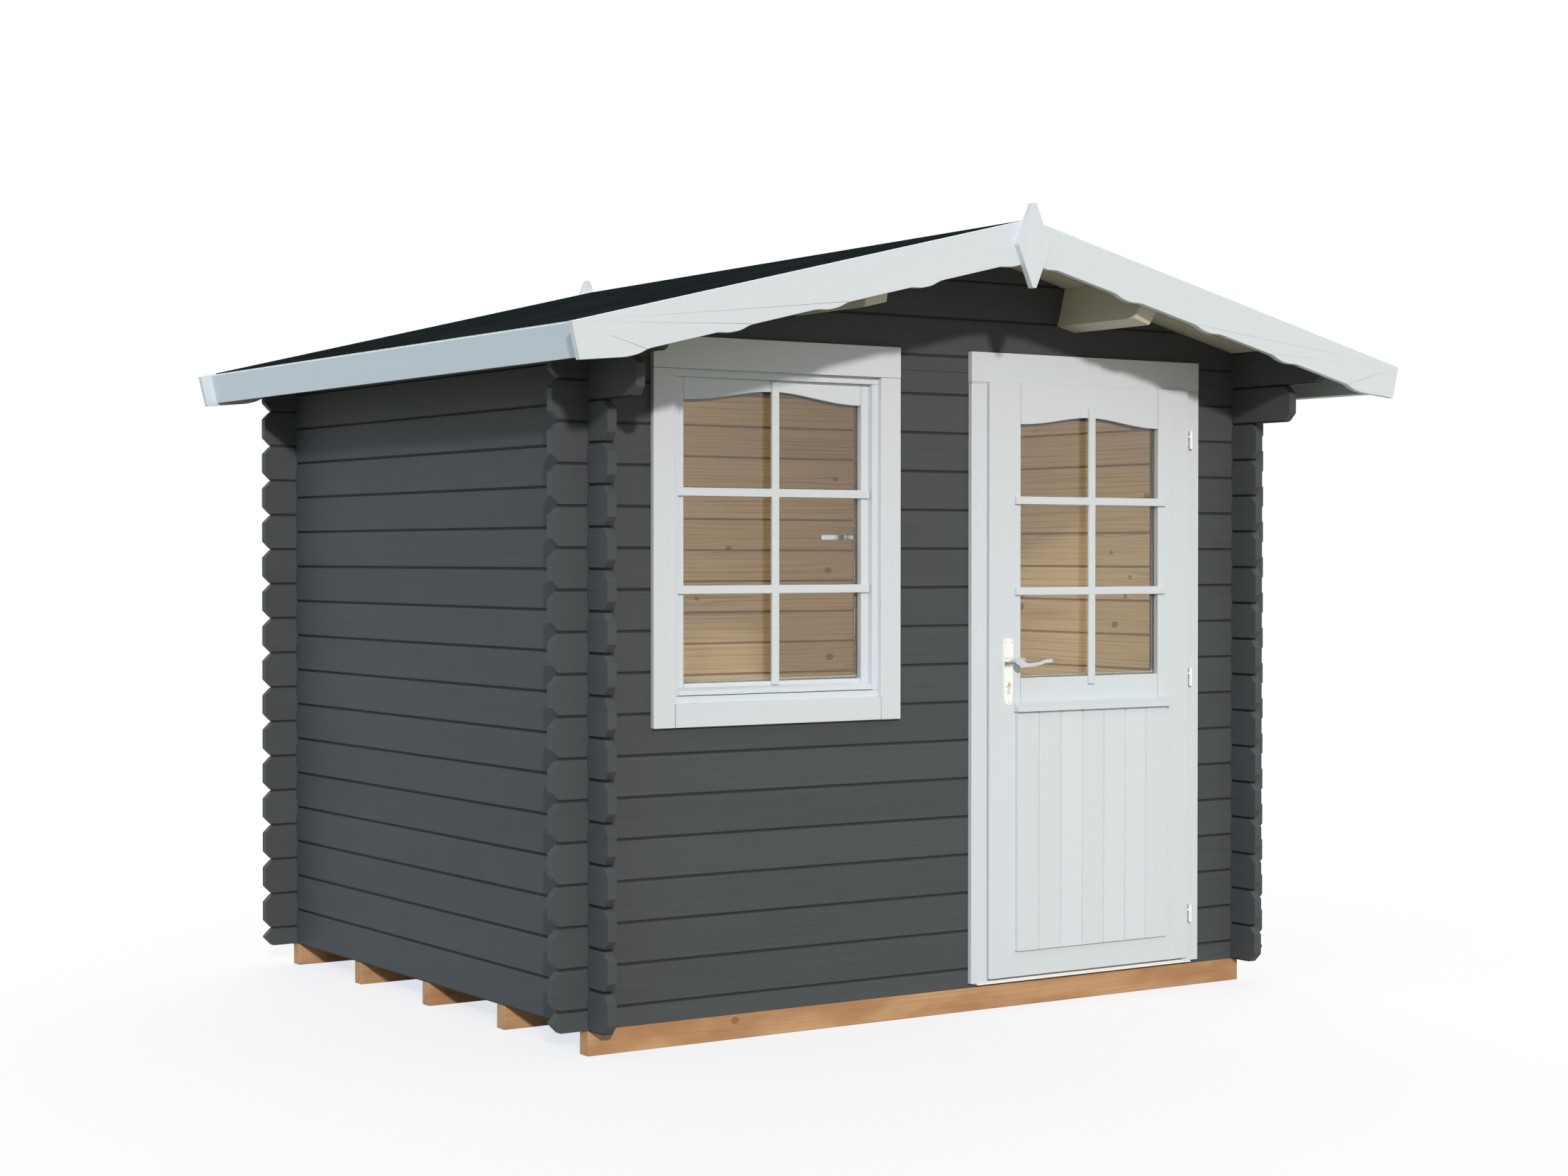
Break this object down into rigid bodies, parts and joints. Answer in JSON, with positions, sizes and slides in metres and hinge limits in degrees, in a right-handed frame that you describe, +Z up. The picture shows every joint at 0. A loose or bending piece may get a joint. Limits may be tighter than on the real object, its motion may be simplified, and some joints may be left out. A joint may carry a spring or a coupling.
{
  "type": "garden shed",
  "caption": "Small garden shed of interlocking logs with a low gable roof, glazed door with a lever handle and a barred window.",
  "frame": {"origin": "on the ground, below the centre of the roof's outline", "axes": "+X to the right along the front wall, +Y from the front wall to the rear wall, +Z up"},
  "size_m": [2.955, 2.57, 2.3549],
  "materials": {
    "log_paint": "anthracite painted timber",
    "white_paint": "white painted timber",
    "joist_timber": "bare softwood",
    "floor_boards": "bare softwood",
    "roof_boards": "painted roof boards",
    "roof_felt": "black mineral felt",
    "glass": "clear glass",
    "handle_metal": "satin steel"
  },
  "bodies": {
    "building": {"joist_1": "joist_timber", "joist_2": "joist_timber", "joist_3": "joist_timber", "joist_4": "joist_timber", "joist_5": "joist_timber", "door_sill": "joist_timber", "floor": "floor_boards", "left_wall": "log_paint", "right_wall": "log_paint", "rear_wall": "log_paint", "front_wall_left": "log_paint", "front_wall_right": "log_paint", "front_gable": "log_paint", "purlin_left": "white_paint", "purlin_right": "white_paint", "fascia_left": "white_paint", "fascia_right": "white_paint", "barge_front_left": "white_paint", "barge_front_right": "white_paint", "barge_rear_left": "white_paint", "barge_rear_right": "white_paint", "finial_front": "white_paint", "finial_rear": "white_paint", "window_casing": "white_paint", "window_frame": "white_paint", "window_sash": "white_paint", "window_bars": "white_paint", "window_sill": "white_paint", "door_casing": "white_paint", "door_frame": "white_paint", "threshold": "white_paint", "roof_boards_left": "roof_boards", "roof_boards_right": "roof_boards", "roof_felt_left": "roof_felt", "roof_felt_right": "roof_felt", "window_glass": "glass", "window_lever": "handle_metal", "hinge_pins": "handle_metal"},
    "door": {"door_leaf": "white_paint", "door_glass": "glass", "door_bars": "white_paint", "door_panel": "white_paint", "door_drip": "white_paint", "door_plates": "handle_metal", "hinge_knuckles": "handle_metal"},
    "lever": {"door_lever": "handle_metal"}
  },
  "joints": [
    {"name": "door_swing", "type": "hinge", "parent": "building", "child": "door", "pos_m": [0.967, -0.8725, 0.98], "axis": [0, 0, 1], "range_deg": [0, 110]},
    {"name": "lever_turn", "type": "hinge", "parent": "door", "child": "lever", "pos_m": [0.231, -0.877, 1.045], "axis": [0, 1, 0], "range_deg": [0, 40], "stiffness_Nm_per_rad": 1.2, "springref_deg": -17.19}
  ]
}
